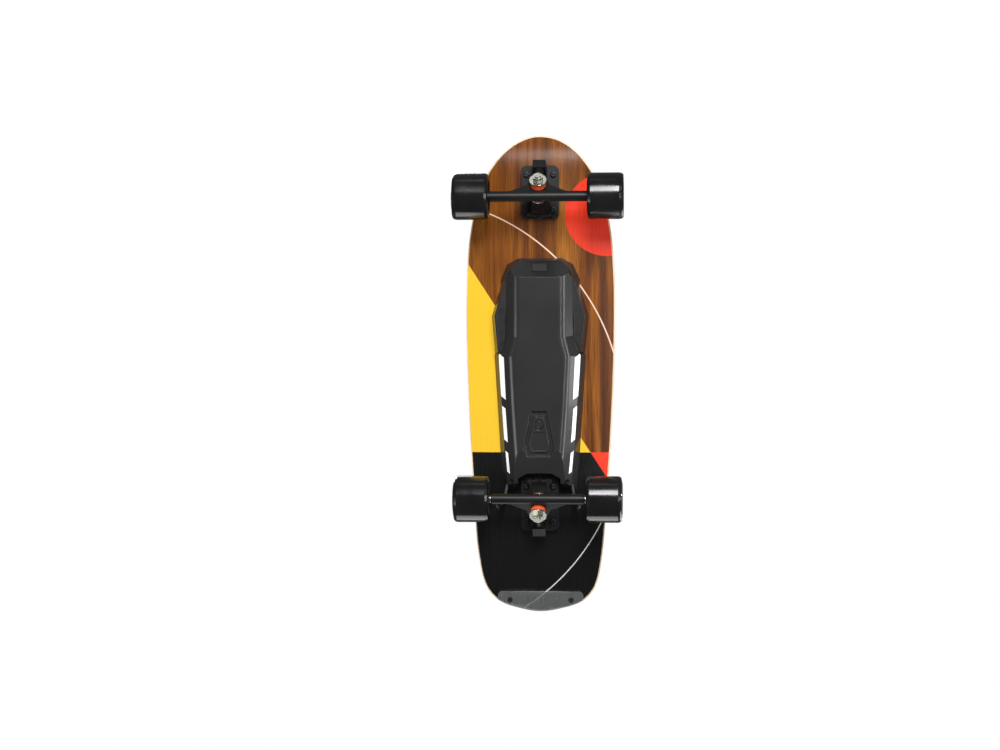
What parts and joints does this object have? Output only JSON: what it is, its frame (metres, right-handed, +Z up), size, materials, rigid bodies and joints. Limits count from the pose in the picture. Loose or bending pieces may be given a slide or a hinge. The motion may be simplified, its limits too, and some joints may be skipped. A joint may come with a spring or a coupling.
{
  "type": "electric skateboard",
  "caption": "Short cruiser electric skateboard: kicktail deck with grip, battery enclosure underneath, sprung trucks, free front wheels and hub-motor rear wheels.",
  "frame": {"origin": "on the ground under the middle of the deck, halfway along its length", "axes": "+X towards the nose, +Y to the rider's left, +Z up"},
  "size_m": [0.735, 0.2582, 0.1351],
  "materials": {
    "maple_ply": "satin",
    "dark_veneer": "gloss lacquer",
    "grip": "coarse abrasive",
    "steel": "zinc plated",
    "black_steel": "black oxide",
    "black_cast": "satin powder coat",
    "rubber": "matte",
    "clear_plastic": "clear polycarbonate",
    "orange_urethane": "satin",
    "shell_plastic": "satin",
    "trim_plastic": "satin",
    "silver_trim": "satin silver",
    "cell_wrap": "shrink wrap",
    "circuit_board": "solder mask",
    "aluminium": "machined",
    "cable_rubber": "satin",
    "copper": "enamelled wire",
    "magnet": "nickel",
    "motor_cap": "satin anodised",
    "bearing_shield": "dark red shield",
    "black_urethane": "smooth urethane",
    "black_core": "moulded nylon"
  },
  "bodies": {
    "board": {"deck_core": "maple_ply", "belly_veneer": "dark_veneer", "top_veneer": "dark_veneer", "grip_tape": "grip", "threaded_inserts": "steel", "tail_guard": "clear_plastic", "tail_guard_screws": "black_steel", "riser_pads": "rubber", "front_baseplate": "black_cast", "rear_baseplate": "black_cast", "truck_bolts": "black_steel", "kingpins": "steel", "kingpin_nuts": "steel", "bushing_washers": "steel", "front_bushings": "orange_urethane", "rear_bushings": "orange_urethane", "pivot_cups": "rubber", "enclosure_shell": "shell_plastic", "enclosure_gasket": "rubber", "wing_panels": "trim_plastic", "light_strips": "silver_trim", "enclosure_screws": "black_steel", "battery_cells": "cell_wrap", "battery_board": "circuit_board", "motor_controller": "aluminium", "heat_plate": "aluminium", "power_switch": "trim_plastic", "charge_socket": "trim_plastic", "motor_cables": "cable_rubber"},
    "power_button": {"power_button": "trim_plastic"},
    "charge_cover": {"charge_port_cover": "rubber"},
    "front_truck": {"front_hanger": "black_cast", "front_axle": "steel", "front_bearing_cones": "steel", "front_speed_washers": "steel", "front_axle_nuts": "steel"},
    "rear_truck": {"rear_hanger": "black_cast", "rear_axle": "steel", "rear_bearing_cones": "steel", "rear_axle_nuts": "steel", "motor_stators": "steel", "motor_windings": "copper"},
    "front_left_wheel": {"front_left_tyre": "black_urethane", "front_left_core": "black_core", "front_left_bearing_rings": "bearing_shield"},
    "rear_left_wheel": {"rear_left_sleeve": "black_urethane", "rear_left_motor_can": "black_steel", "rear_left_magnets": "magnet", "rear_left_motor_cap": "motor_cap", "rear_left_cap_screws": "steel", "rear_left_bearing_rings": "bearing_shield"},
    "front_right_wheel": {"front_right_tyre": "black_urethane", "front_right_core": "black_core", "front_right_bearing_rings": "bearing_shield"},
    "rear_right_wheel": {"rear_right_sleeve": "black_urethane", "rear_right_motor_can": "black_steel", "rear_right_magnets": "magnet", "rear_right_motor_cap": "motor_cap", "rear_right_cap_screws": "steel", "rear_right_bearing_rings": "bearing_shield"}
  },
  "joints": [
    {"name": "front_steer", "type": "hinge", "parent": "board", "child": "front_truck", "pos_m": [0.2674, 0, 0.035], "axis": [0.7547, 0, 0.6561], "range_deg": [-15, 15], "stiffness_Nm_per_rad": 120, "deforming": ["front_bushings"]},
    {"name": "rear_steer", "type": "hinge", "parent": "board", "child": "rear_truck", "pos_m": [-0.1891, 0, 0.035], "axis": [-0.7547, 0, 0.6561], "range_deg": [-15, 15], "stiffness_Nm_per_rad": 120, "deforming": ["rear_bushings", "motor_cables"]},
    {"name": "front_left_spin", "type": "hinge", "parent": "front_truck", "child": "front_left_wheel", "pos_m": [0.2674, 0.102, 0.035], "axis": [0, 1, 0], "continuous": true},
    {"name": "front_right_spin", "type": "hinge", "parent": "front_truck", "child": "front_right_wheel", "pos_m": [0.2674, -0.102, 0.035], "axis": [0, 1, 0], "continuous": true},
    {"name": "rear_left_spin", "type": "hinge", "parent": "rear_truck", "child": "rear_left_wheel", "pos_m": [-0.1891, 0.1, 0.035], "axis": [0, 1, 0], "continuous": true},
    {"name": "rear_right_spin", "type": "hinge", "parent": "rear_truck", "child": "rear_right_wheel", "pos_m": [-0.1891, -0.1, 0.035], "axis": [0, 1, 0], "continuous": true},
    {"name": "button_press", "type": "slide", "parent": "board", "child": "power_button", "axis": [0, 0, 1], "range_m": [0, 0.0015], "stiffness_N_per_m": 600},
    {"name": "charge_cover_hinge", "type": "hinge", "parent": "board", "child": "charge_cover", "pos_m": [0.16667, 0, 0.08494], "axis": [0, -1, 0], "range_deg": [0, 90], "stiffness_Nm_per_rad": 0.01}
  ]
}
